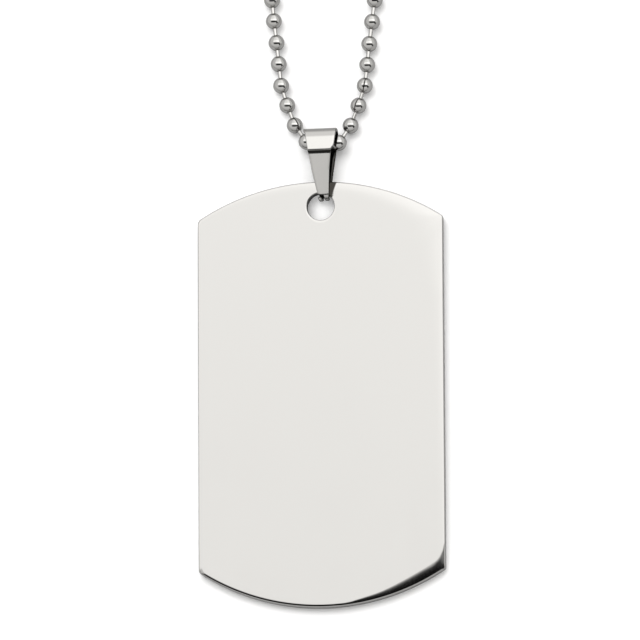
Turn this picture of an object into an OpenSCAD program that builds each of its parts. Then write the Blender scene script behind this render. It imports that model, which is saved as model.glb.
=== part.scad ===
// Identification dog tag on a folded bail and a ball chain, lying on a table.
// X runs to the right of the tag's face, Y toward the chain, Z up from the table.

/* [Tag] */
// Width of the plate
tag_w = 32; // [24:0.5:42]
// Length of the plate over its rounded ends
tag_len = 55.7; // [44:0.1:70]
// Thickness of the plate
tag_t = 1.6; // [1:0.1:2.4]
// Radius of the rounded ends
end_r = 29; // [24:0.5:40]
// Radius of the softened edges
edge_r = 0.15; // [0.1:0.05:0.4]
// Diameter of the hole for the bail
hole_d = 3.6; // [3.4:0.1:5]
// Metal between the hole and the plate's top end
hole_rim = 1.45; // [1:0.05:3]
// How far the hole sits to the right of the plate's middle
hole_side = 0.1; // [-1:0.1:1]
// Width of the hole's bevel
hole_bevel = 0.1; // [0.05:0.05:0.2]

/* [Bail] */
// Thickness of the strip
strip_t = 0.45; // [0.3:0.05:0.6]
// Width of the strip at its fold
bail_w = 4.4; // [3.6:0.1:6]
// Width of the strip where the legs end
tip_w = 1.5; // [1.4:0.1:2]
// Length of the bail over everything
bail_len = 9.4; // [8.5:0.1:14]
// Length of the loop that holds the chain
loop_len = 3.3; // [3:0.1:4.5]
// Height of the loop over its strip
loop_h = 3.65; // [3.4:0.05:4.5]
// Depth of the crease between loop and front leg
crease = 0.6; // [0.3:0.05:0.8]
// Radius of the fold
fold_r = 1.45; // [1:0.05:1.7]
// Radius of the small bends
bend_r = 0.7; // [0.6:0.05:0.9]
// Length of the prongs below the legs
prong_len = 0.25; // [0.25:0.05:0.9]
// Width of each prong
prong_w = 0.6; // [0.5:0.05:0.65]
// Gap between the two prongs
prong_gap = 0.2; // [0.1:0.05:0.3]
// How far the two prongs sit to the right of the bail's middle
prong_side = -0.05; // [-0.1:0.05:0.1]
// Turn of the bail from the tag's long axis, in degrees
bail_turn = 3; // [-5:0.5:5]
// How far the bail hangs to the right of the hole's middle
bail_side = 0.45; // [0:0.05:0.6]
// How far the chain's lowest ball sits to the right of the bail's middle
seat_side = 0.2; // [0:0.05:0.4]

/* [Chain] */
// Diameter of the balls
ball_d = 2; // [1.6:0.1:2.1]
// Wall of the hollow balls
ball_wall = 0.22; // [0.15:0.01:0.25]
// Distance between the middles of two balls
ball_pitch = 2.84; // [2.6:0.02:3.4]
// Diameter of the pins between the balls
pin_d = 0.52; // [0.4:0.02:0.56]
// Diameter of the hole that a pin passes
pin_hole_d = 0.9; // [0.86:0.02:0.94]
// Diameter of the pins' heads
head_d = 1.1; // [1:0.02:1.16]
// How far the chain reaches beyond the ball in the bail
reach = 270; // [150:1:320]
// Pull of the loop's round end on its sides, which makes it wide
round_pull = 78; // [50:1:110]
// Pull of the sides on the loop's round end, which makes it slim
side_pull = 130; // [80:1:200]

/* [Connector] */
// Length of the sleeve
sleeve_len = 7.2; // [6.6:0.1:9]
// Inner diameter of the sleeve
sleeve_bore = 2.4; // [2.4:0.05:2.8]
// Wall of the sleeve
sleeve_wall = 0.25; // [0.2:0.05:0.4]
// Width of the slot that the pins pass
slot_w = 0.85; // [0.8:0.05:1.1]
// Diameter of the opening through which a ball goes in
entry_d = 2.2; // [2.15:0.05:2.4]

/* [Fits] */
// Clearance between pieces that lie on each other
fit = 0.05; // [0.03:0.01:0.1]
// Clearance between loose pieces
loose = 0.15; // [0.12:0.01:0.3]

/* [Hidden] */
// Middles of the balls beside the bail, outward from the one inside it, to the right and to the left
near_right = [[2.11, -0.06], [3.6, 2.26], [4.64, 4.88], [5.48, 7.52], [5.82, 10.28], [6.1, 13.05],
    [6.48, 15.98], [6.84, 18.87]];
near_left = [[-2.12, 0.17], [-3.72, 2.49], [-4.69, 5.18], [-5.49, 7.81], [-5.8, 10.7], [-6.08, 13.54],
    [-6.42, 16.44], [-6.65, 19.23]];

bend_steps = 6;
route_steps = 60;

// The hole, and the inner face of the prongs below its edge
hole_y = tag_len / 2 - hole_rim - hole_d / 2;
prong_corner = turned([prong_side + prong_gap / 2 + prong_w, 0], bail_turn);
hook_y = hole_y + sqrt(pow(hole_d / 2, 2) - pow(bail_side + prong_corner[0], 2)) - prong_corner[1] - fit;

// The bail's back leg lies under the tag's rim and lifts the top end a little
tag_lift = strip_t + fit;
tag_tilt = asin(tag_lift / (tag_len / 2 + hook_y));

// The bail seen from its side, measured from the prongs' inner face and up from the table
leg_gap = tag_t + 2 * fit;
hook_h = leg_gap + 2 * strip_t;
top_y = bail_len - strip_t;
loop_y = top_y - loop_len;
crease_lean = 22;
crease_run = crease * tan(crease_lean);
side_corners = [
    [-strip_t, 0],
    [top_y, 0],
    [top_y, loop_h],
    [loop_y, loop_h],
    [loop_y - crease_run, loop_h - crease],
    [-strip_t, hook_h]
];
outer_radii = [bend_r, fold_r, fold_r, bend_r - loose, bend_r - strip_t, bend_r];
inner_radii = [bend_r - strip_t, fold_r - strip_t, fold_r - strip_t, bend_r - loose - strip_t, bend_r,
    bend_r - strip_t];

// The ball inside the bail, in the bail's own frame and then on the table
seat_in_bail = [seat_side, top_y - strip_t - 2 * loose - ball_d / 2 - fit];
bail_at = [hole_side + bail_side, hook_y];
seat = bail_at + turned(seat_in_bail, bail_turn);

ball_r = ball_d / 2;
ball_in_r = ball_r - ball_wall;
seat_z = strip_t + fit + ball_r;
// A pin stays this far from its hole's edge, up to a bend that one straight axis can take
pin_gap = 0.1;
straight_bend = asin(((pin_hole_d - pin_d) / 2 - pin_gap) / ball_r);

// The sleeve lies across the far end of the loop
sleeve_r = sleeve_bore / 2 + sleeve_wall;
sleeve_at = [seat[0], seat[1] + reach, sleeve_r];
sleeve_ball_z = sleeve_wall + loose + ball_r;
end_ball_x = sleeve_len / 2 - sleeve_wall - loose - ball_r;
straight_run = end_ball_x + ball_pitch + loose;

$fn = 48;

function unit(v) = v / norm(v);
function turn(a, b) = atan2(a[0] * b[1] - a[1] * b[0], a * b);
function heading(v) = atan2(v[1], v[0]);
function turned(v, a) = [cos(a) * v[0] - sin(a) * v[1], sin(a) * v[0] + cos(a) * v[1]];

// Corner i of a closed outline, moved to the left of its edges by a distance
function moved_corner(p, i, by) =
    let(
        n = len(p),
        u = unit(p[i] - p[(i + n - 1) % n]),
        v = unit(p[(i + 1) % n] - p[i]),
        half = turn(u, v) / 2,
        w = unit(u + v)
    )
    p[i] + by / cos(half) * [-w[1], w[0]];

function inset(p, by) = [for (i = [0:len(p) - 1]) moved_corner(p, i, by)];

// Closed outline with each corner replaced by an arc of its own radius
function rounded(p, radii) = [
    for (i = [0:len(p) - 1])
        let(
            n = len(p),
            u = unit(p[i] - p[(i + n - 1) % n]),
            v = unit(p[(i + 1) % n] - p[i]),
            bend = turn(u, v),
            side = sign(bend),
            start = p[i] - u * radii[i] * tan(abs(bend) / 2),
            middle = start + side * radii[i] * [-u[1], u[0]]
        )
        for (k = [0:bend_steps])
            let(a = heading(u) - side * 90 + bend * k / bend_steps)
            middle + radii[i] * [cos(a), sin(a)]
];

function bezier(a, b, c, d, t) =
    pow(1 - t, 3) * a + 3 * pow(1 - t, 2) * t * b + 3 * (1 - t) * t * t * c + pow(t, 3) * d;

// Half of the chain's route: from the last near ball along the side and round to the sleeve
function route(near, side) =
    let(
        start = seat + near[len(near) - 1],
        away = unit(near[len(near) - 1] - near[len(near) - 4]),
        finish = [sleeve_at[0] + side * straight_run, sleeve_at[1]],
        leaving = start + side_pull * away,
        arriving = finish + [side * round_pull, 0]
    )
    concat(
        [for (k = [0:route_steps]) bezier(start, leaving, arriving, finish, k / route_steps)],
        [[sleeve_at[0], sleeve_at[1]]]
    );

// Length of a route up to each of its points
function run_to(p) =
    [for (i = 0, s = 0; i < len(p); i = i + 1, s = s + (i < len(p) ? norm(p[i] - p[i - 1]) : 0)) s];

// The near balls, then balls along the route at one even pitch, the last one inside the sleeve
function balls(near, side) =
    let(
        p = route(near, side),
        run = run_to(p),
        length = run[len(run) - 1] - end_ball_x,
        count = round(length / ball_pitch),
        xs = [for (i = [0:len(p) - 1]) [run[i], p[i][0]]],
        ys = [for (i = [0:len(p) - 1]) [run[i], p[i][1]]]
    )
    concat(
        [for (k = [0:len(near) - 1]) concat(seat + near[k], k == 0 ? seat_z : ball_r)],
        [for (k = [1:count])
            let(s = k * length / count)
            [lookup(s, xs), lookup(s, ys), k == count ? sleeve_ball_z : ball_r]]
    );

function reversed(p) = [for (i = [len(p) - 1:-1:0]) p[i]];

row = concat(reversed(balls(near_left, -1)), [[seat[0], seat[1], seat_z]], balls(near_right, 1));

// The part's own box, which the origin is the middle of
row_x = [for (p = row) p[0]];
middle_x = (min(row_x) + max(row_x)) / 2;
middle_y = (sleeve_at[1] + sleeve_r - tag_len / 2) / 2;

module rounded_edge_profile(half_w) {
    square([half_w - edge_r, tag_t]);
    translate([0, edge_r]) square([half_w, tag_t - 2 * edge_r]);
    for (z = [edge_r, tag_t - edge_r])
        translate([half_w - edge_r, z]) circle(edge_r);
}

// One half of the plate's length, from its middle to one rounded end
module end_half(side) {
    intersection() {
        side_slab();
        translate([0, side * (tag_len / 2 - end_r), 0])
            rotate_extrude($fn = 160) rounded_edge_profile(end_r);
        translate([0, side * tag_len / 2, tag_t / 2])
            cube([2 * tag_w, tag_len, 2 * tag_t], center = true);
    }
}

module side_slab() {
    rotate([90, 0, 0])
        linear_extrude(tag_len + 2 * end_r, center = true) {
            rounded_edge_profile(tag_w / 2);
            mirror([1, 0]) rounded_edge_profile(tag_w / 2);
        }
}

module tag_hole() {
    cylinder(h = 3 * tag_t, d = hole_d, center = true);
    for (flip = [0, 1])
        translate([0, 0, flip * tag_t]) mirror([0, 0, flip])
            translate([0, 0, -hole_bevel])
                cylinder(h = 2 * hole_bevel, r1 = hole_d / 2 + 2 * hole_bevel, r2 = hole_d / 2);
}

module tag() {
    color("silver")
        translate([0, -tag_len / 2, 0]) rotate([tag_tilt, 0, 0]) translate([0, tag_len / 2, 0])
            difference() {
                union() {
                    end_half(1);
                    end_half(-1);
                }
                translate([hole_side, hole_y, 0]) tag_hole();
            }
}

// The strip on edge: X of this drawing is the bail's Y, Y of it is the height
module strip_side() {
    difference() {
        polygon(rounded(side_corners, outer_radii));
        polygon(rounded(inset(side_corners, strip_t), inner_radii));
    }
}

module across(width) {
    rotate([90, 0, 90]) linear_extrude(width, center = true) children();
}

module legs_and_loop() {
    intersection() {
        across(bail_w) strip_side();
        linear_extrude(loop_h)
            polygon([
                [-tip_w / 2, prong_len],
                [tip_w / 2, prong_len],
                [bail_w / 2, top_y],
                [-bail_w / 2, top_y]
            ]);
    }
}

// One prong through the hole, kept between two heights and beside the other one
module prong(side, low, high) {
    translate([prong_side + side * (prong_gap + prong_w) / 2, 0, 0])
        across(prong_w)
            intersection() {
                strip_side();
                translate([-strip_t, low]) square([strip_t + prong_len + fit, high - low]);
            }
}

module bail() {
    color("gainsboro")
        translate(bail_at) rotate(bail_turn) {
            legs_and_loop();
            prong(1, bend_r, hook_h);
            prong(-1, 0, hook_h - bend_r);
        }
}

module along(direction) {
    rotate([0, acos(direction[2] / norm(direction)), heading(direction)]) children();
}

// Half of a hollow ball's section, open at the bottom where the pin before it comes in, or closed for 0
module ball_profile(opening) {
    intersection() {
        difference() {
            circle(ball_r);
            circle(ball_in_r);
            if (opening > 0)
                translate([0, -ball_r]) square([opening / 2, ball_r]);
        }
        translate([0, -ball_r]) square([ball_r, ball_d]);
    }
}

// Half of a pin's section, out of its ball's wall and with its head just inside the next ball
module pin_profile(pitch) {
    r = pin_d / 2;
    head_r = head_d / 2;
    head_z = pitch - sqrt(pow(ball_in_r - loose, 2) - pow(head_r, 2));
    polygon([
        [0, ball_in_r + ball_wall / 2],
        [r, ball_in_r + ball_wall / 2],
        [r, head_z - head_r + r],
        [head_r, head_z],
        [0, head_z]
    ]);
}

// One ball with its pin: turned as one piece where the row is nearly straight, and on two axes in a bend
module link(i) {
    last = len(row) - 1;
    before = row[max(i, 1)] - row[max(i, 1) - 1];
    after = row[min(i + 1, last)] - row[min(i + 1, last) - 1];
    opening = i == 0 ? 0 : pin_hole_d;
    straight = unit(before) * unit(after) > cos(straight_bend);
    translate(row[i]) {
        if (straight && i < last)
            along(after) rotate_extrude() {
                ball_profile(opening);
                pin_profile(norm(after));
            }
        else {
            along(before) rotate_extrude() ball_profile(opening);
            if (i < last)
                along(after) rotate_extrude() pin_profile(norm(after));
        }
    }
}

module chain() {
    color("lightsteelblue")
        for (i = [0:len(row) - 1])
            link(i);
}

module connector() {
    slot_z = ball_r - pin_d / 2 - loose;
    color("darkgray")
        translate(sleeve_at)
            difference() {
                rotate([0, 90, 0]) cylinder(h = sleeve_len, r = sleeve_r, center = true);
                rotate([0, 90, 0])
                    cylinder(h = sleeve_len - 2 * sleeve_wall, d = sleeve_bore, center = true);
                translate([-sleeve_len, -slot_w / 2, slot_z - sleeve_r])
                    cube([2 * sleeve_len, slot_w, 2 * sleeve_r]);
                cylinder(h = 2 * sleeve_r, d = entry_d);
            }
}

module placed() {
    translate([-middle_x, -middle_y, 0]) children();
}

placed() tag();
placed() bail();
placed() chain();
placed() connector();
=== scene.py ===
import bpy
import numpy as np
from mathutils import Matrix


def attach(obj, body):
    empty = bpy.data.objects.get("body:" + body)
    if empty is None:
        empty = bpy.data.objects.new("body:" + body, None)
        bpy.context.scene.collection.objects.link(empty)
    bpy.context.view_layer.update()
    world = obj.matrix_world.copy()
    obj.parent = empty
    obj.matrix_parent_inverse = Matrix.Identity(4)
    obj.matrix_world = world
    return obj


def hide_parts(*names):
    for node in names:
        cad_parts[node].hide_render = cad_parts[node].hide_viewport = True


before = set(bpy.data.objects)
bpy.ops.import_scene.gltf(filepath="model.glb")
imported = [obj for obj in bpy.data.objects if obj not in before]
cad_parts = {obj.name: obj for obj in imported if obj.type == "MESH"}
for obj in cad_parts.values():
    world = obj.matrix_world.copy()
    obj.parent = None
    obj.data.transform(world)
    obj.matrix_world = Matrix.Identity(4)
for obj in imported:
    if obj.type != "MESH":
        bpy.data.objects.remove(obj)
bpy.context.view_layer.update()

# The view: a long lens a metre away, looking down on the tag from a little below its lower edge and
# from its right. Lengths are in millimetres, and the tag's middle is where the solid model has it.
mm = 0.001
tag_middle = np.array([-0.723603, -138.346, 0.0])
aim = np.array([-0.27241, 9.96177, 0.0])
lean_right, lean_down, roll = np.radians([6.7534, 9.9158, -0.2502])
camera_distance = 1004.748
focal_pixels, picture_pixels = 7740.647, 640
sensor_w, farthest_m = 36, 20


def camera_axes():
    """Right, up and back of the camera. Back leans from the zenith, up is the part of Y square to it,
    and right and up then turn about it by the roll."""
    back = np.array([np.tan(lean_right), -np.tan(lean_down), 1.0])
    back /= np.linalg.norm(back)
    up = np.array([0.0, 1.0, 0.0])
    up -= back * (up @ back)
    up /= np.linalg.norm(up)
    right = np.cross(up, back)
    return np.cos(roll) * right + np.sin(roll) * up, np.cos(roll) * up - np.sin(roll) * right, back


def place_camera():
    """The camera object: its axes are the columns of its matrix, and its place is along its back axis
    from the aim."""
    right, up, back = camera_axes()
    place = (tag_middle + aim + camera_distance * back) * mm
    camera = bpy.data.objects.new("camera", bpy.data.cameras.new("camera"))
    bpy.context.scene.collection.objects.link(camera)
    columns = np.eye(4)
    columns[:3] = np.stack([right, up, back, place], axis=1)
    camera.matrix_world = Matrix(columns.tolist())
    camera.data.sensor_width = sensor_w
    camera.data.lens = focal_pixels * sensor_w / picture_pixels
    camera.data.clip_end = farthest_m
    bpy.context.scene.camera = camera


place_camera()

# The tag: a blank pressed from stainless sheet, with two straight sides, two rounded ends and a hole.
# Tumbling and buffing rolled its edges over, most of all at the lower right corner, which shows as a
# narrow facet with a sharp inner border.
plate_w, plate_len, plate_t, end_r = 32.0, 55.7, 1.6, 29.0
plate_tilt = np.radians(0.532581)
hole_at = np.array([0.1, 24.6])
hole_r, hole_bevel, edge_r = 1.8, 0.1, 0.15
# How round each corner is at the outline, and how much rounder it gets per millimetre inwards
upper_left_round, upper_right_round, lower_left_round, lower_right_round = 0.34, 0.13, 0.26, 0.2
round_growth = 1.1
# The facet's inner border is a row of lines: a point on each, the direction that the facet drops in
# there, as its parts east and south, and the slope in degrees. Slopes steepen outwards by the square.
facet_lines = [(6.24, -26.46, 0.291, 0.957, 6.3), (8.84, -25.47, 0.417, 0.909, 6.6),
               (12.3, -23.69, 0.481, 0.877, 6.9), (14.74, -22.28, 0.636, 0.772, 8.6),
               (15.19, -21.81, 0.803, 0.596, 11.0), (15.51, -21.26, 0.913, 0.408, 15.5),
               (15.73, -20.59, 0.97, 0.242, 23.0)]
facet_steepening, ridge_blend = 0.025, 0.015
# The rest of the lower edge has a narrow slope, which starts below a height and ends at the facet
low_slope, low_slope_w, low_slope_from, low_slope_fade = np.tan(np.radians(8)), 0.34, -20, 3
facet_takes_over = 0.02
# The rolled border at bearings from the plate's middle: its width, and its slope in degrees
roll_bearings = [0, 40, 53, 58, 66, 78, 90, 104, 112, 125, 180, 270, 300, 360]
roll_widths = [1.3, 1.6, 3.2, 3.3, 2.6, 1.8, 1.4, 1.1, 0.9, 0.7, 0.7, 0.7, 1.0, 1.3]
roll_slopes = [7, 7, 6.5, 6.5, 6.5, 6, 5, 4, 3, 2, 2, 2, 4, 7]


def inset(x, y):
    """Distance of a point from the outline: the smaller of those to the side and to the end arc, blended
    over a range that is the corner's own roundness and grows inwards."""
    side = plate_w / 2 - np.abs(x)
    end = end_r - np.hypot(x, np.abs(y) - (plate_len / 2 - end_r))
    nearer = np.minimum(side, end)
    upper = np.where(x < 0, upper_left_round, upper_right_round)
    lower = np.where(x < 0, lower_left_round, lower_right_round)
    reach = np.where(y > 0, upper, lower) + round_growth * np.maximum(nearer, 0)
    return nearer - np.maximum(reach - np.abs(side - end), 0) ** 2 / (4 * reach)


def facet_drop(x, y):
    """Drop of the lower right facet: the greatest of the slopes that start at its lines, with the ridges
    between them blended; and the narrow slope along the rest of the lower edge."""
    deepest = np.full(np.broadcast(x, y).shape, -1.0)
    for at_x, at_y, east, south, slope in facet_lines:
        past = east * (x - at_x) - south * (y - at_y)
        drop = np.tan(np.radians(slope)) * past + facet_steepening * np.maximum(past, 0) ** 2
        between = np.abs(drop - deepest)
        blended = np.maximum(ridge_blend - between, 0) ** 2 / (4 * ridge_blend)
        deepest = np.maximum(drop, deepest) + blended
    low_edge = np.clip((low_slope_from - y) / low_slope_fade, 0, 1)
    low_edge = low_edge * np.clip(1 - deepest / facet_takes_over, 0, 1)
    return np.maximum(deepest, 0) + low_slope * low_edge * np.maximum(low_slope_w - inset(x, y), 0)


def top_height(x, y):
    """Height of the face: the thickness, less the rolled border's slope that fades out inwards by the
    cube, less the facet's drop, less the edge's quarter circle."""
    d = np.maximum(inset(x, y), 0)
    bearing = np.degrees(np.arctan2(y, x)) % 360
    width = np.interp(bearing, roll_bearings, roll_widths)
    slope = np.tan(np.radians(np.interp(bearing, roll_bearings, roll_slopes)))
    drop = slope * width / 3 * np.maximum(1 - d / width, 0) ** 3
    drop += facet_drop(x, y)
    rounding = np.maximum(edge_r - d, 0)
    drop += edge_r - np.sqrt(np.maximum(edge_r ** 2 - rounding ** 2, 0))
    return plate_t - drop


def reach_at(bearing, wanted, beyond_plate=60.0, halvings=40):
    """How far from the hole's middle the inset has the wanted value along each bearing, found by halving
    the interval from the hole's rim to a place beyond the plate."""
    low = np.full(np.broadcast(bearing, wanted).shape, hole_r)
    high = np.full_like(low, beyond_plate)
    for _ in range(halvings):
        middle = (low + high) / 2
        inside = inset(hole_at[0] + middle * np.cos(bearing), hole_at[1] + middle * np.sin(bearing)) > wanted
        low, high = np.where(inside, middle, low), np.where(inside, high, middle)
    return (low + high) / 2


def plate_bearings(even_count=440):
    """Bearings from the hole's middle: even ones, with closer ones added toward the four corners, and
    somewhat closer ones over a wider range toward the two lower corners."""
    even = np.linspace(0, 2 * np.pi, even_count, endpoint=False)
    corner_y = plate_len / 2 - end_r + np.sqrt(end_r ** 2 - plate_w ** 2 / 4)
    corners = np.array([[1, 1], [-1, 1], [-1, -1], [1, -1]]) * [plate_w / 2, corner_y]
    aims = np.arctan2(corners[:, 1] - hole_at[1], corners[:, 0] - hole_at[0])
    close = np.radians([0.12, 0.12, 0.05, 0.05])[:, None] * np.arange(-25, 26) + aims[:, None]
    wide = np.radians(0.3) * np.arange(-20, 21) + aims[2:, None]
    return np.unique(np.round(np.concatenate([even, close.ravel(), wide.ravel()]) % (2 * np.pi), 6))


def grid_faces(rows, columns, closed_rows=False):
    """Corner numbers of the four-sided faces of a grid whose columns close on themselves, and its rows
    where asked."""
    i, j = np.meshgrid(np.arange(rows if closed_rows else rows - 1), np.arange(columns), indexing="ij")
    up, on = (i + 1) % rows, (j + 1) % columns
    corners = [i * columns + j, i * columns + on, up * columns + on, up * columns + j]
    return np.stack(corners, axis=-1).reshape(-1, 4)


def as_piece(name, points, faces, material):
    """A smooth mesh object at the origin, from points in millimetres in the solid model's frame and lists
    of corner numbers."""
    mesh = bpy.data.meshes.new(name)
    mesh.from_pydata((points * mm).tolist(), [], [list(face) for face in faces])
    mesh.polygons.foreach_set("use_smooth", np.ones(len(mesh.polygons), bool))
    mesh.materials.append(material)
    piece = bpy.data.objects.new(name, mesh)
    bpy.context.scene.collection.objects.link(piece)
    return piece


def plate_points(face_depth=3.5, short_of_hole=0.12, tried_w=2, tried_step=0.01):
    """The plate's closed skin as rings round the hole: in over the face, down the hole, out over the back
    and up the side. Near the outline a ring has one inset, and two rings enclose the facet's inner border;
    nearer the hole, rings shrink towards it in even ratio. Also the number of rings on the face."""
    bearing = plate_bearings()[None, :]
    rim = hole_r + hole_bevel
    edge = reach_at(bearing, np.zeros((1, 1)))
    tried = np.arange(0, tried_w, tried_step)[:, None]
    tried_at = reach_at(bearing, tried)
    sloped = facet_drop(hole_at[0] + tried_at * np.cos(bearing), hole_at[1] + tried_at * np.sin(bearing)) > 0
    near = inset(hole_at[0] + rim * np.cos(bearing), hole_at[1] + rim * np.sin(bearing))
    deepest = np.minimum(face_depth, near - short_of_hole)
    border = np.maximum(np.max(tried * sloped, axis=0, keepdims=True), low_slope_w)
    turn = np.radians(np.linspace(0, 90, 9))[:, None]
    fillet = edge_r * (1 - np.sin(turn)) + 0 * bearing
    facet = edge_r + (border - edge_r) * np.array([0.2, 0.4, 0.6, 0.8, 0.97, 1.03])[:, None]
    beyond = border * 1.03 + (deepest - border * 1.03) * np.linspace(0.06, 1, 11)[:, None] ** 1.3
    outer = reach_at(bearing, np.concatenate([fillet[::-1], facet, beyond]))
    inner = rim * (outer[-1:] / rim) ** np.linspace(1, 0, 22)[1:, None]
    face = np.concatenate([outer, inner])
    face_z = top_height(hole_at[0] + face * np.cos(bearing), hole_at[1] + face * np.sin(bearing))
    bevel = np.radians([60, 30, 0])[:, None]
    lip = hole_r + hole_bevel * (1 - np.cos(bevel)) + 0 * bearing
    lip_drop = hole_bevel * (1 - np.sin(bevel)) + 0 * bearing
    wall_z = np.linspace(0.85, 0.15, 4)[:, None] * plate_t + 0 * bearing
    back = rim * (reach_at(bearing, np.full((1, 1), edge_r)) / rim) ** np.linspace(0, 1, 16)[:, None]
    under = reach_at(bearing, fillet[1:-1])
    under_z = edge_r * (1 - np.cos(turn[1:-1])) + 0 * bearing
    side_z = edge_r + (face_z[:1] - edge_r) * np.array([0, 0.33, 0.67])[:, None]
    radius = np.concatenate([face, lip, hole_r + 0 * wall_z, lip[::-1], back, under, edge, edge, edge])
    height = np.concatenate([face_z, face_z[-1:] - lip_drop, wall_z, lip_drop[::-1], 0 * back, under_z, side_z])
    x, y = hole_at[0] + radius * np.cos(bearing), hole_at[1] + radius * np.sin(bearing)
    return np.stack([x, y, height], axis=-1), len(face)


def laid_down(points):
    """The plate tipped about its lower end by the bail's leg under its upper one, and moved to its place
    in the frame."""
    x, y, z = np.moveaxis(points, -1, 0)
    along = y + plate_len / 2
    c, s = np.cos(plate_tilt), np.sin(plate_tilt)
    return np.stack([x, along * c - z * s - plate_len / 2, along * s + z * c], axis=-1) + tag_middle


def put(tree, kind, sockets, **settings):
    """A new node in a tree, with its settings, and with a number or another node's output in each named
    socket."""
    node = tree.nodes.new("ShaderNode" + kind)
    for name, value in settings.items():
        setattr(node, name, value)
    for name, value in sockets.items():
        if isinstance(value, bpy.types.NodeSocket):
            tree.links.new(value, node.inputs[name])
        else:
            node.inputs[name].default_value = value
    return node


def maths(tree, operation, a, b=0.0, c=0.0):
    """The output of a Math node with one to three numbers or outputs."""
    return put(tree, "Math", {0: a, 1: b, 2: c}, operation=operation).outputs[0]


def soft_step(tree, value, low, high, before, after):
    """An output that goes smoothly from one number to another while the value goes from low to high."""
    sockets = {0: value, 1: low, 2: high, 3: before, 4: after}
    return put(tree, "MapRange", sockets, interpolation_type="SMOOTHSTEP").outputs[0]


def blend(tree, amount, first, second):
    """The first colour going over to the second as the amount goes from nought to one."""
    sockets = {0: amount, 6: (*first, 1.0), 7: (*second, 1.0)}
    return put(tree, "Mix", sockets, data_type="RGBA").outputs[2]


def new_group(name, inputs, outputs):
    """An empty node group with inputs, each with its first value, and with outputs of the given kinds."""
    tree = bpy.data.node_groups.new(name, "ShaderNodeTree")
    for label, value in inputs.items():
        kind = "NodeSocketVector" if isinstance(value, tuple) else "NodeSocketFloat"
        tree.interface.new_socket(name=label, in_out="INPUT", socket_type=kind).default_value = value
    for label, kind in outputs.items():
        tree.interface.new_socket(name=label, in_out="OUTPUT", socket_type=kind)
    return tree, tree.nodes.new("NodeGroupInput").outputs, tree.nodes.new("NodeGroupOutput").inputs


def polish_marks():
    """Fine crossing hairlines that a buffing wheel leaves: two stretched noises at a large angle, thinned
    to lines, with a slow cloud that says where they are dense. Height is for a bump, Haze for the roughness."""
    inputs = {"Place": (0.0, 0.0, 0.0), "Fineness": 900.0, "Density": 0.5}
    outputs = {"Height": "NodeSocketFloat", "Haze": "NodeSocketFloat"}
    tree, given, result = new_group("polish marks", inputs, outputs)
    lines = []
    for angle in (0.5, 2.2):
        stretch = {"Vector": given["Place"], "Rotation": (0.0, 0.0, angle), "Scale": (1.0, 0.02, 1.0)}
        turned = put(tree, "Mapping", stretch).outputs[0]
        noise = put(tree, "TexNoise", {"Vector": turned, "Scale": given["Fineness"], "Detail": 2.0}).outputs[0]
        lines.append(put(tree, "MapRange", {0: noise, 1: 0.6, 2: 0.75}, clamp=True).outputs[0])
    cloud = put(tree, "TexNoise", {"Vector": given["Place"], "Scale": 140.0, "Detail": 3.0}).outputs[0]
    both = maths(tree, "MAXIMUM", lines[0], lines[1])
    dense = maths(tree, "MULTIPLY", both, given["Density"])
    tree.links.new(maths(tree, "MULTIPLY", dense, cloud), result["Height"])
    tree.links.new(maths(tree, "ADD", maths(tree, "MULTIPLY", dense, 0.4), cloud), result["Haze"])
    return tree


marks_group = polish_marks()


def buffed_steel(name, tint, smooth, hazy, depth, fineness=900.0, density=0.5):
    """Polished stainless steel: a metal of the given tint, whose roughness goes from smooth to hazy with
    the marks' haze, and whose surface has the marks' hairlines to the given depth in metres."""
    material = bpy.data.materials.new(name)
    material.use_nodes = True
    tree = material.node_tree
    shader = tree.nodes["Principled BSDF"]
    sockets = {"Place": put(tree, "TexCoord", {}).outputs["Object"], "Fineness": fineness, "Density": density}
    marks = put(tree, "Group", sockets, node_tree=marks_group)
    rough = put(tree, "MapRange", {0: marks.outputs["Haze"], 1: 0.3, 2: 0.9, 3: smooth, 4: hazy}).outputs[0]
    bump = put(tree, "Bump", {"Height": marks.outputs["Height"], "Distance": depth, "Strength": 1.0})
    shader.inputs["Base Color"].default_value = (*tint, 1.0)
    shader.inputs["Metallic"].default_value = 1.0
    tree.links.new(rough, shader.inputs["Roughness"])
    tree.links.new(bump.outputs[0], shader.inputs["Normal"])
    return material


def with_painted_shade(material, attribute, tint, painted_shade):
    """The steel, with its colour going over from its tint to a dark one, painted shade, as the piece's
    attribute says.
    """
    tree = material.node_tree
    amount = put(tree, "Attribute", {}, attribute_name=attribute).outputs["Fac"]
    tree.links.new(blend(tree, amount, tint, painted_shade), tree.nodes["Principled BSDF"].inputs["Base Color"])


# Painted shade on the plate: on the rings of the hole's punched wall, counted from the face's last one,
# most of all toward upper left, and in a wedge to the right of the bail's front leg, with its right border
first_wall_row, last_wall_row = 2, 7
shade_toward, wall_shade = np.radians(140), 0.75
shade_wedge_y, shade_wedge_right = [25.4, 25.83, 26.64, 27.55, 27.8], [1.6, 1.72, 1.87, 2.19, 2.3]
shade_wedge_left, shade_wedge_blur, shade_wedge_fade = 0.9, 0.08, 0.2


def painted_shade_places(rings, face_rows):
    """A number at each point of the plate, one where shade is painted: on the hole's wall by the cosine of the
    bearing from the darkest, and in the wedge right of the bail's leg by the distance from its border."""
    x, y, _ = np.moveaxis(rings, -1, 0)
    row = np.arange(len(rings))[:, None] - face_rows
    toward = np.cos(np.arctan2(y - hole_at[1], x - hole_at[0]) - shade_toward)
    on_wall = (row >= first_wall_row) & (row <= last_wall_row)
    wall = on_wall * np.clip(wall_shade + wall_shade * toward, 0, 1)
    # Painted shade in the wedge to the right of the bail's front leg
    wedge_shade = np.clip((np.interp(y, shade_wedge_y, shade_wedge_right) - x) / shade_wedge_blur, 0, 1) * (x > shade_wedge_left)
    wedge_shade = wedge_shade * np.clip((y - shade_wedge_y[0]) / shade_wedge_fade, 0, 1) * (row < 0)
    return np.maximum(wall, wedge_shade)


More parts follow.
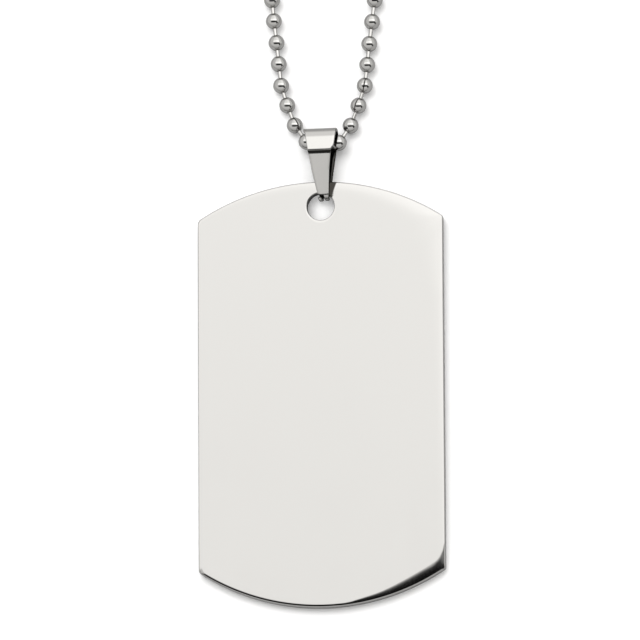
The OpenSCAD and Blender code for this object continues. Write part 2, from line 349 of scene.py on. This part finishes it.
sheet_tint = (0.46, 0.4535, 0.4415)
rings, face_rows = plate_points()
tag_steel = buffed_steel("tag steel", sheet_tint, smooth=0.06, hazy=0.14, depth=2e-7)
# Painted shade: the hole's wall and a wedge beside the bail's leg are darkened in the steel's colour
with_painted_shade(tag_steel, "painted_shade", sheet_tint, painted_shade=(0.036, 0.034, 0.03))
plate_faces = grid_faces(*rings.shape[:2], closed_rows=True)
tag = as_piece("tag_plate", laid_down(rings).reshape(-1, 3), plate_faces, tag_steel)
painted_shade_layer = tag.data.attributes.new("painted_shade", "FLOAT", "POINT")
painted_shade_layer.data.foreach_set("value", painted_shade_places(rings, face_rows).ravel())
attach(tag, "root")
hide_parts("tag")

# The bail: one tapered strip of the same sheet, bent in a press into a loop for the chain and two legs
# that straddle the tag's rim. A prong on each leg is bent through the hole, and the two pass side by
# side. It hangs a little turned, and its front leg is set down from the loop at a sharp crease.
strip_t, bail_len, loop_len, loop_h, crease = 0.45, 9.4, 3.3, 3.65, 0.6
fold_r, bend_r, crease_r, loose, bail_fit = 1.45, 0.7, 0.48, 0.15, 0.05
bail_turn, crease_lean, loop_skew = np.radians([3.0, 16.0, 2.2])
bail_at = np.array([0.55, 25.9414])
leg_gap = plate_t + 2 * bail_fit
bail_top = bail_len - strip_t
loop_slant, crease_inward = 0.18, 0.8
route_step = 0.04
# The strip's edges: places along the bail, and where the edge is across it there
front_left = [0.2, 1.2, 3.1, 5.65, 5.9, 8.1, 8.7], [-0.76, -0.95, -1.3, -1.62, -1.65, -1.9, -2.18]
front_right = ([0.2, 3.4, 5.1, 5.4, 5.55, 5.72, 5.87, 6.1, 6.3, 6.6, 7.0, 8.1, 8.7],
               [0.7, 0.96, 1.2, 1.25, 1.28, 1.32, 1.38, 1.55, 1.71, 1.84, 1.91, 2.12, 2.22])
rear_left = [0.2, 8.7], [-0.74, -2.18]
rear_right = [0.2, 2.15, 5.9, 8.1, 8.7], [0.75, 1.0, 1.73, 2.15, 2.22]
# The prongs' edges, left and right, and the lengths over which a leg narrows to its prong and a tip rounds
front_prong, rear_prong = (0.02, 0.66), (-0.78, -0.2)
shoulder_at, shoulder_len, tip_len, tip_least = 0.16, 0.12, 0.22, 0.02
# Where the skew comes in along the bail, and from how steep a fall on, in degrees, the crease gets painted
# shade
skew_from, skew_range = 0.5, 4
crease_shade_beyond, crease_shade_from, crease_shade_range = 4, 16, 14


def strip_route():
    """Middle line of the strip seen from its side, as places along the bail and heights at even steps:
    straight runs between corners that are arcs. It starts at the end of the lower prong and ends at the
    end of the upper one."""
    half, loop_at = strip_t / 2, bail_top - loop_len
    hook_h = leg_gap + 2 * strip_t
    down = crease * np.tan(crease_lean)
    leg_tilt = np.arctan2(loop_h - crease - hook_h, loop_at - down + strip_t)
    crease_from = loop_at + half * crease_inward
    corners = np.array([
        [-half, hook_h - bend_r], [-half, half], [bail_top - half, half],
        [bail_top - half, loop_h - half - loop_slant], [crease_from, loop_h - half],
        [crease_from - down, loop_h - crease - half], [-half, hook_h - half / np.cos(leg_tilt)],
        [-half, bend_r],
    ])
    radii = np.array([bend_r, fold_r, fold_r, crease_r, crease_r, bend_r]) - half
    steps = np.linspace(0, 1, 13)[:, None]
    route = [corners[:1]]
    for before, corner, after, radius in zip(corners[:-2], corners[1:-1], corners[2:], radii):
        arriving = (corner - before) / np.linalg.norm(corner - before)
        leaving = (after - corner) / np.linalg.norm(after - corner)
        bend = np.arctan2(arriving[0] * leaving[1] - arriving[1] * leaving[0], arriving @ leaving)
        side = np.sign(bend) * np.array([-arriving[1], arriving[0]])
        start = corner - arriving * radius * np.tan(abs(bend) / 2)
        turn = abs(bend) * steps
        route.append(start + radius * (np.sin(turn) * arriving + (1 - np.cos(turn)) * side))
    route = np.concatenate(route + [corners[-1:]])
    run = np.concatenate([[0], np.cumsum(np.hypot(*np.diff(route, axis=0).T))])
    even = np.arange(0, run[-1], route_step)
    return np.stack([np.interp(even, run, route[:, 0]), np.interp(even, run, route[:, 1])], axis=1)


def strip_edges(route):
    """Left and right edge of the strip at each point of its route: tapers along the legs and the loop, a
    quarter-round shoulder where a leg narrows to its prong, and round ends to the prongs."""
    along = route[:, 0]
    front = np.arange(len(along)) > np.argmax(along)
    left = np.where(front, np.interp(along, *front_left), np.interp(along, *rear_left))
    right = np.where(front, np.interp(along, *front_right), np.interp(along, *rear_right))
    prong_left = np.where(front, front_prong[0], rear_prong[0])
    prong_right = np.where(front, front_prong[1], rear_prong[1])
    rise = np.clip((along - shoulder_at) / shoulder_len, 0, 1)
    shoulder = np.sqrt(1 - (1 - rise) ** 2)
    left = prong_left + (left - prong_left) * shoulder
    right = prong_right + (right - prong_right) * shoulder
    run = np.arange(len(along)) * route_step
    to_end = np.clip(np.minimum(run, run[-1] - run) / tip_len, 0, 1)
    middle, half = (left + right) / 2, (right - left) / 2
    half = half * np.sqrt(np.clip(1 - (1 - to_end) ** 2, tip_least, 1))
    return middle - half, middle + half


# Columns of the strip's section: the outer face between two round corners, then the left side's inner
# corner, the inner face, and the right side's inner corner
corner_columns, flat_columns = 5, 7
left_inner = 2 * corner_columns + flat_columns
inner_face, right_inner = left_inner + corner_columns, left_inner + corner_columns + flat_columns
section_columns = right_inner + corner_columns


def swept_strip(route, left, right, softness=0.13):
    """Rings across the strip along its route: a flat section as wide as the edges say, with round corners
    of the given softness, standing square to the route, but skewed a little in the loop, whose bends were
    pressed askew."""
    slope = np.gradient(route, axis=0)
    slope /= np.linalg.norm(slope, axis=1)[:, None]
    outward = np.stack([slope[:, 1], -slope[:, 0]], axis=1)
    quarter = np.radians(np.linspace(0, 90, corner_columns))
    level, ones = np.linspace(0.8, -0.8, flat_columns), np.ones(corner_columns)
    east, north, west, south = (quarter + turn * np.pi / 2 for turn in range(4))
    sign_x = np.concatenate([ones, level, -ones, -ones, -level, ones])
    up, down = np.pi / 2 + 0 * level, -np.pi / 2 + 0 * level
    angle = np.concatenate([east, up, north, west, down, south])
    cos_a, sin_a = np.cos(angle), np.sin(angle)
    sign_n = np.where(np.arange(section_columns) < left_inner, 1.0, -1.0)
    half = (right - left)[:, None] / 2
    soft = np.minimum(softness, half * 0.9)
    across = (left + right)[:, None] / 2 + sign_x * (half - soft) + soft * cos_a
    off = sign_n * (strip_t / 2 - softness) + softness * sin_a
    along = route[:, :1] + off * outward[:, :1]
    height = route[:, 1:] + off * outward[:, 1:]
    skew = np.tan(loop_skew) * np.clip((along - skew_from) / skew_range, 0, 1)
    return np.stack([across, along - skew * across, height], axis=-1)


def in_the_bail(points):
    """Points of the bail's own drawing, turned and moved to where it hangs."""
    x, y, z = np.moveaxis(points, -1, 0)
    c, s = np.cos(bail_turn), np.sin(bail_turn)
    return np.stack([c * x - s * y + bail_at[0], s * x + c * y + bail_at[1], z], axis=-1) + tag_middle


def end_fans(rows, columns):
    """Corner numbers of the three-sided faces that close a grid's first and last ring round two more
    points, which are numbered after the grid's."""
    j, last = np.arange(columns), (rows - 1) * columns
    start = np.stack([(j + 1) % columns, j, np.full(columns, rows * columns)], axis=1)
    end = np.stack([last + j, last + (j + 1) % columns, np.full(columns, rows * columns + 1)], axis=1)
    return np.concatenate([start, end])


def closed_tube(rings):
    """Points and faces of a row of rings whose two ends are closed by fans round their middles."""
    rows, columns = rings.shape[:2]
    points = np.concatenate([rings.reshape(-1, 3), rings[:1].mean(axis=1), rings[-1:].mean(axis=1)])
    return points, grid_faces(rows, columns).tolist() + end_fans(rows, columns).tolist()


def painted_strip_shade(route, side_shade=0.8, rear_shade=0.2):
    """A number at each point of the strip, the amount of painted shade: one on the front at the crease, where
    it goes down steeply from the loop, and one or less on its sheared sides and its inner face, where shade
    falls between the legs. The rear leg's inner face, which shows, gets only a little."""
    slope = np.gradient(route, axis=0)
    descent = np.degrees(np.arctan2(-slope[:, 1], -slope[:, 0]))
    front = np.arange(len(route)) > np.argmax(route[:, 0])
    crease_shade = np.clip((descent - crease_shade_from) / crease_shade_range, 0, 1) * (front & (route[:, 0] > crease_shade_beyond))
    column = np.arange(section_columns)
    inner = np.where((column >= left_inner) | (column == 0), side_shade, 0.0)
    rear_inner = (column >= inner_face) & (column < right_inner - 1) & ~front[:, None]
    inner = np.where(rear_inner, rear_shade, inner)
    inner = np.where(column >= right_inner, 1.0, inner)
    return np.append(np.maximum(crease_shade[:, None], inner).ravel(), [side_shade, side_shade])


bail_tint = (0.46, 0.453, 0.439)
route = strip_route()
bail_points, bail_faces = closed_tube(in_the_bail(swept_strip(route, *strip_edges(route))))
bail_steel = buffed_steel("bail steel", bail_tint, smooth=0.06, hazy=0.15, depth=3e-7)
# Painted shade: the crease and the strip's sides and inner faces are darkened in the steel's colour
with_painted_shade(bail_steel, "painted_strip_shade", bail_tint, painted_shade=(0.02, 0.019, 0.017))
bail = as_piece("bail_strip", bail_points, bail_faces, bail_steel)
bail.data.attributes.new("painted_strip_shade", "FLOAT", "POINT").data.foreach_set("value", painted_strip_shade(route))
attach(bail, "root")
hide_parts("bail")

# The chain: hollow balls, each folded round the heads of the pins that join it to its neighbours, from
# thin stainless strip, which leaves one seam from hole to hole. It runs from the sleeve down one
# strand, through the bail and up the other, at one even pitch.
ball_r, ball_pitch, pin_r, pin_hole_r = 1.0, 2.84, 0.26, 0.34
chain_reach, round_pull, side_pull = 270.0, 78.0, 130.0
sleeve_len, sleeve_wall = 7.2, 0.25
seat = np.array([0.375524, 33.0921])
seat_z, sleeve_ball_z = strip_t + bail_fit + ball_r, sleeve_wall + loose + ball_r
end_ball_x = sleeve_len / 2 - sleeve_wall - loose - ball_r
# The balls beside the bail, from the one that sits in it outward
near_right = np.array([[2.11, -0.06], [3.6, 2.26], [4.64, 4.88], [5.48, 7.52],
                       [5.82, 10.28], [6.1, 13.05], [6.48, 15.98], [6.84, 18.87]])
near_left = np.array([[-2.12, 0.17], [-3.72, 2.49], [-4.69, 5.18], [-5.49, 7.81],
                      [-5.8, 10.7], [-6.08, 13.54], [-6.42, 16.44], [-6.65, 19.23]])
# How the seams of the balls nearest the bail are turned, in degrees, from the left strand to the right one
near_rolls = [30, 150, 60, 120, 40, 140, -63, 150, 90, 40, 150, -75, -92, 60, 140, 30, 100]


def strand(near, side):
    """Ball middles of half of the chain, outward from beside the bail: the near places, then balls at one
    even pitch on a cubic curve from the strand's own direction to the sleeve's, and straight into the
    sleeve."""
    sleeve = seat + [0, chain_reach]
    away = (near[-1] - near[-4]) / np.linalg.norm(near[-1] - near[-4])
    a, d = seat + near[-1], sleeve + [side * (end_ball_x + ball_pitch + loose), 0]
    b, c = a + side_pull * away, d + [side * round_pull, 0]
    t = np.linspace(0, 1, 61)[:, None]
    curve = (1 - t) ** 3 * a + 3 * (1 - t) ** 2 * t * b + 3 * (1 - t) * t ** 2 * c + t ** 3 * d
    path = np.concatenate([curve, sleeve[None]])
    run = np.concatenate([[0], np.cumsum(np.hypot(*np.diff(path, axis=0).T))])
    length = run[-1] - end_ball_x
    count = int(np.floor(length / ball_pitch + 0.5))
    at = np.linspace(0, length, count + 1)[1:]
    even = np.stack([np.interp(at, run, path[:, 0]), np.interp(at, run, path[:, 1])], axis=1)
    z = np.full(len(near) + count, ball_r)
    z[0], z[-1] = seat_z, sleeve_ball_z
    return np.column_stack([np.concatenate([seat + near, even]), z])


def unit(vectors):
    """The vectors at length one."""
    return vectors / np.linalg.norm(vectors, axis=-1, keepdims=True)


def frames(axes, rolls):
    """Two directions square to each axis, the first level and the second downward, turned about the axis
    by the rolls."""
    level = unit(np.cross(axes, [0.0, 0.0, 1.0]))
    upward = np.cross(level, axes)
    c, s = np.cos(rolls)[:, None], np.sin(rolls)[:, None]
    return c * level + s * upward, s * level - c * upward


def turned_row(places, axes, rolls, along, radius, columns):
    """One turned shape at every place of the row: rings of the given radii at the given distances along
    the axis, each with so many columns. Its ends close in fans."""
    first, second = frames(axes, rolls)
    bearings = np.arange(columns) * 2 * np.pi / columns
    ring = np.cos(bearings)[:, None, None] * first + np.sin(bearings)[:, None, None] * second
    points = places + along[:, None, None, None] * axes + radius[:, None, None, None] * ring
    points = np.moveaxis(points, 2, 0)
    tips = places[:, None] + np.array([along[0], along[-1]])[None, :, None] * axes[:, None]
    count, rows = points.shape[:2]
    offsets = (np.arange(count) * (rows * columns + 2))[:, None, None]
    quads, threes = grid_faces(rows, columns) + offsets, end_fans(rows, columns) + offsets
    everything = np.concatenate([points.reshape(count, -1, 3), tips], axis=1).reshape(-1, 3)
    return everything, quads.reshape(-1, 4).tolist() + threes.reshape(-1, 3).tolist()


left_strand, right_strand = strand(near_left, -1), strand(near_right, 1)
chain_row = np.concatenate([left_strand[::-1], [[*seat, seat_z]], right_strand]) + tag_middle
ball_count, lowest = len(chain_row), len(left_strand)
ball_rolls = np.random.default_rng(11).uniform(-0.1, np.pi + 0.1, ball_count)
ball_rolls[lowest - 8:lowest + 9] = np.radians(near_rolls)
neighbours = np.concatenate([chain_row[:1], chain_row, chain_row[-1:]])
ball_axes = unit(neighbours[2:] - neighbours[:-2])


def control_rings(wanted):
    """Rings whose cubic B-spline passes the wanted ones, which is what subdivision makes of them: (before
    + 4 own + after) / 6 is the wanted value, and the ends are kept."""
    count = len(wanted)
    weights = (4 * np.eye(count) + np.eye(count, k=1) + np.eye(count, k=-1)) / 6
    weights[0], weights[-1] = np.eye(count)[0], np.eye(count)[-1]
    return np.linalg.solve(weights, wanted)


def drawn_in(columns):
    """How much smaller subdivision makes a ring of so many columns, by the same rule of sixths."""
    return (4 + 2 * np.cos(2 * np.pi / columns)) / 6


# A ball stands a little proud of its nominal size, and turns in sharply at its two holes
shown_r, hole_along = 1.05, 0.74
ball_lift = shown_r - ball_r + 0.01
ball_columns, polar = 10, np.radians([20.5, 42, 66, 90, 114, 138, 159.5])
ball_along = control_rings(np.concatenate([[-hole_along], -shown_r * np.cos(polar), [hole_along]]))
ball_radius = control_rings(np.concatenate([[pin_hole_r], shown_r * np.sin(polar), [pin_hole_r]]))
ball_points, ball_faces = turned_row(chain_row + [0, 0, ball_lift], ball_axes, ball_rolls, ball_along,
                                     ball_radius / drawn_in(ball_columns), ball_columns)


def seam_map(piece, columns, rows, count):
    """A UV map whose first number runs once round each ball, starting opposite the seam, and whose second
    runs along it."""
    j, i = np.meshgrid(np.arange(columns), np.arange(rows - 1))
    u = np.stack([j, j + 1, j + 1, j], axis=-1) / columns
    v = np.stack([i, i, i + 1, i + 1], axis=-1) / (rows - 1)
    quads = np.stack([u, v], axis=-1).reshape(-1, 2)
    fans = np.zeros((count * 2 * columns * 3, 2))
    layer = piece.data.uv_layers.new(name="round the ball")
    layer.data.foreach_set("uv", np.concatenate([np.tile(quads, (count, 1)), fans]).ravel())


def smoothed(piece):
    """The piece with one level of subdivision, in the view and in the render alike."""
    modifier = piece.modifiers.new("rounding", "SUBSURF")
    modifier.levels = modifier.render_levels = 1
    return piece


def ball_steel(tint=(0.5, 0.494, 0.482), seam=(0.05, 0.048, 0.045), seam_core=0.007, seam_edge=0.02):
    """The strip's steel, darker toward the ball's rim, with a dark line where its seam closes, whose two
    half widths are parts of the way round."""
    material = buffed_steel("ball steel", tint, smooth=0.02, hazy=0.07, depth=1e-7, fineness=1500.0)
    tree = material.node_tree
    shader = tree.nodes["Principled BSDF"]
    around = put(tree, "UVMap", {}, uv_map="round the ball").outputs[0]
    u = put(tree, "SeparateXYZ", {0: around}).outputs[0]
    away = maths(tree, "ABSOLUTE", maths(tree, "SUBTRACT", u, 0.5))
    line = soft_step(tree, away, seam_core, seam_edge, 1.0, 0.0)
    tree.links.new(blend(tree, line, tint, seam), shader.inputs["Base Color"])
    shader.inputs["Specular Tint"].default_value = (0.86, 0.86, 0.86, 1.0)
    return material


balls = smoothed(as_piece("chain_balls", ball_points, ball_faces, ball_steel()))
seam_map(balls, ball_columns, len(ball_along), ball_count)
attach(balls, "root")
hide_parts("chain")

# The pins: short steel wires with a head at each end, which sits caught inside a ball. Only the wire
# between two balls shows, so each is drawn from within one ball to within the next.
steps_between = np.diff(chain_row, axis=0)
pin_columns, pin_along = 6, np.array([0.5, 0.6, 1.41, 2.2, 2.3])
pin_radius = np.full(len(pin_along), pin_r / drawn_in(pin_columns))
pin_points, pin_faces = turned_row(chain_row[:-1], unit(steps_between), np.zeros(ball_count - 1),
                                   pin_along, pin_radius, pin_columns)
pin_steel = buffed_steel("pin steel", (0.5, 0.492, 0.48), smooth=0.06, hazy=0.14, depth=3e-7, fineness=2500.0)
pins = smoothed(as_piece("chain_pins", pin_points, pin_faces, pin_steel))
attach(pins, "root")
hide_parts("chain")

# The connector: a short slotted sleeve rolled from the same sheet, which takes the chain's two end balls
# through its round entry and holds them behind its closed ends.
sleeve_steel = buffed_steel("sleeve steel", sheet_tint, smooth=0.1, hazy=0.22, depth=4e-7)
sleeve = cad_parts["connector"]
sleeve.data.materials.clear()
sleeve.data.materials.append(sleeve_steel)

# The table: a plain white sheet, far wider than any view of it, just below the necklace. The steel
# mirrors it darker than the camera sees it.
table_w, table_z = 14000 * mm, -0.02 * mm
mirrored_tone, seen_tone, mirrored_glow, seen_glow = 0.47, 0.93, 0.03, 0.06
# A soft bright spot makes up for light that is thrown about in the tag's hole, likely by its wall
spot_at = tuple((tag_middle + [*hole_at, 0] + [-0.1, 0.9, 0]) * mm)
spot_glow, spot_core, spot_edge = 0.3, 0.3 * mm, 2.7 * mm


def white_paper():
    """Matt white: its tone and its faint glow are one pair for the camera and another for the steel, and
    for the camera the spot's glow is added, which falls off smoothly with the distance from its middle."""
    material = bpy.data.materials.new("white table")
    material.use_nodes = True
    tree = material.node_tree
    shader = tree.nodes["Principled BSDF"]
    shader.inputs["Roughness"].default_value = 0.8
    shader.inputs["Specular IOR Level"].default_value = 0.0
    shader.inputs["Emission Color"].default_value = (1, 1, 1, 1)
    seen = put(tree, "LightPath", {}).outputs["Is Camera Ray"]
    tone = blend(tree, seen, [mirrored_tone] * 3, [seen_tone] * 3)
    glow = put(tree, "MapRange", {0: seen, 3: mirrored_glow, 4: seen_glow}).outputs[0]
    place = put(tree, "TexCoord", {}).outputs["Object"]
    away = put(tree, "VectorMath", {0: place, 1: spot_at}, operation="DISTANCE").outputs["Value"]
    spot = soft_step(tree, away, spot_core, spot_edge, spot_glow, 0.0)
    tree.links.new(tone, shader.inputs["Base Color"])
    tree.links.new(maths(tree, "MULTIPLY_ADD", seen, spot, glow), shader.inputs["Emission Strength"])
    return material


bpy.ops.mesh.primitive_plane_add(size=table_w, location=(0, 0, table_z))
table = bpy.context.object
table.name = "table"
table.data.materials.append(white_paper())

# The light: a grey tent that darkens southward, one large soft panel to the north that is brightest in
# its middle, and a dark slot for the lens, from which an arm runs down to the right. Directions are in
# degrees east and north of the zenith.
panel_strength, slot_strength = 1.78, 0.01
panel_top = 80.0
panel_gains = [(0, 0.4), (4.8, 0.9), (6.8, 0.95), (8.8, 0.98), (14, 1.1), (21.2, 1.16), (24.8, 0.92),
               (32, 0.76), (64, 0.76), (panel_top, 0.7)]
west_gain, east_gain = (-7.0, 1.0), (23.0, 1.24)
tent_tone, tent_foot_tone = (-50.0, 0.925), (-85.0, 0.55)


def soft_panel():
    """How much of a panel shows in a direction: product of four soft steps, one per side of a rectangle,
    in degrees along two axes. Blur is the width of the steps across the first axis, Edge of those across
    the second."""
    inputs = {"Along": 0.0, "Across": 0.0, "Left": -20.0, "Right": 20.0, "Low": -20.0, "High": 20.0,
              "Blur": 4.0, "Edge": 4.0}
    tree, given, result = new_group("soft panel", inputs, {"Mask": "NodeSocketFloat"})
    masks = []
    for place, side, sign, blur in (("Along", "Left", 1, "Blur"), ("Along", "Right", -1, "Blur"),
                                    ("Across", "Low", 1, "Edge"), ("Across", "High", -1, "Edge")):
        past = maths(tree, "MULTIPLY", maths(tree, "SUBTRACT", given[place], given[side]), sign)
        half = maths(tree, "MULTIPLY", given[blur], 0.5)
        masks.append(soft_step(tree, past, maths(tree, "MULTIPLY", half, -1.0), half, 0.0, 1.0))
    sides = maths(tree, "MULTIPLY", masks[0], masks[1])
    ends = maths(tree, "MULTIPLY", masks[2], masks[3])
    tree.links.new(maths(tree, "MULTIPLY", sides, ends), result["Mask"])
    return tree


def light_tent():
    """The world: the tent's tone, with the panel's strength where the panel shows and next to nothing
    where the slot or its arm does."""
    world = bpy.data.worlds.new("light tent")
    world.use_nodes = True
    tree = world.node_tree
    direction = put(tree, "SeparateXYZ", {0: put(tree, "TexCoord", {}).outputs["Generated"]}).outputs
    east = maths(tree, "DEGREES", maths(tree, "ARCTAN2", direction[0], direction[2]))
    north = maths(tree, "DEGREES", maths(tree, "ARCTAN2", direction[1], direction[2]))
    group = soft_panel()

    def panel(along, across, left, right, low, high, blur, edge):
        """One panel's mask."""
        sockets = {"Along": along, "Across": across, "Left": left, "Right": right, "Low": low, "High": high,
                   "Blur": blur, "Edge": edge}
        return put(tree, "Group", sockets, node_tree=group).outputs["Mask"]

    def turned(at_east, at_north, turn):
        """Degrees along and across an axis that starts at a direction and is turned southward from east."""
        c, s = np.cos(np.radians(turn)), np.sin(np.radians(turn))
        e, n = maths(tree, "SUBTRACT", east, at_east), maths(tree, "SUBTRACT", north, at_north)
        along = maths(tree, "SUBTRACT", maths(tree, "MULTIPLY", e, c), maths(tree, "MULTIPLY", n, s))
        return along, maths(tree, "ADD", maths(tree, "MULTIPLY", e, s), maths(tree, "MULTIPLY", n, c))

    lit = panel(east, north, left=-40, right=46, low=2, high=78, blur=14, edge=5)
    slot = panel(east, north, left=-36, right=44, low=-28, high=-5, blur=8, edge=5)
    arm = panel(*turned(38, -9, 56), left=-4, right=60, low=-10, high=10, blur=8, edge=6)
    up_the_panel = put(tree, "MapRange", {0: north, 1: 0.0, 2: panel_top}).outputs[0]
    gain = put(tree, "ValToRGB", {"Fac": up_the_panel})
    stops = gain.color_ramp.elements
    for place, value in panel_gains:
        stop = stops[0] if place == 0 else stops[-1] if place == panel_top else stops.new(place / panel_top)
        stop.color = (value, value, value, 1)
    gains = {0: east, 1: west_gain[0], 2: east_gain[0], 3: west_gain[1], 4: east_gain[1]}
    eastward = put(tree, "MapRange", gains).outputs[0]
    bright = maths(tree, "MULTIPLY", maths(tree, "MULTIPLY", gain.outputs[0], eastward), panel_strength)
    tones = {0: north, 1: tent_tone[0], 2: tent_foot_tone[0], 3: tent_tone[1], 4: tent_foot_tone[1]}
    grey = put(tree, "MapRange", tones).outputs[0]
    tent = put(tree, "MapRange", {0: lit, 3: grey, 4: bright}).outputs[0]
    dark = maths(tree, "MAXIMUM", slot, arm)
    level = put(tree, "MapRange", {0: dark, 3: tent, 4: slot_strength}).outputs[0]
    tree.links.new(level, tree.nodes["Background"].inputs["Strength"])
    tree.nodes["Background"].inputs["Color"].default_value = (1.0, 0.995, 0.985, 1)
    bpy.context.scene.world = world


def soft_lamp(east, north, width, strength):
    """A soft lamp far away toward a direction, which only the table shows, because the steel is lit by
    what it mirrors of the tent."""
    lamp = bpy.data.objects.new("soft lamp", bpy.data.lights.new("soft lamp", "SUN"))
    lamp.data.angle, lamp.data.energy = np.radians(width), strength
    back = unit(np.array([np.tan(np.radians(east)), np.tan(np.radians(north)), 1.0]))
    right = unit(np.cross([0.0, 1.0, 0.0], back))
    axes = np.eye(4)
    axes[:3, :3] = np.stack([right, np.cross(back, right), back], axis=1)
    lamp.matrix_world = Matrix(axes.tolist())
    lamp.visible_glossy = False
    bpy.context.scene.collection.objects.link(lamp)


light_tent()
soft_lamp(east=-15, north=25, width=36, strength=1.15)
bpy.context.scene.view_settings.view_transform = "Standard"
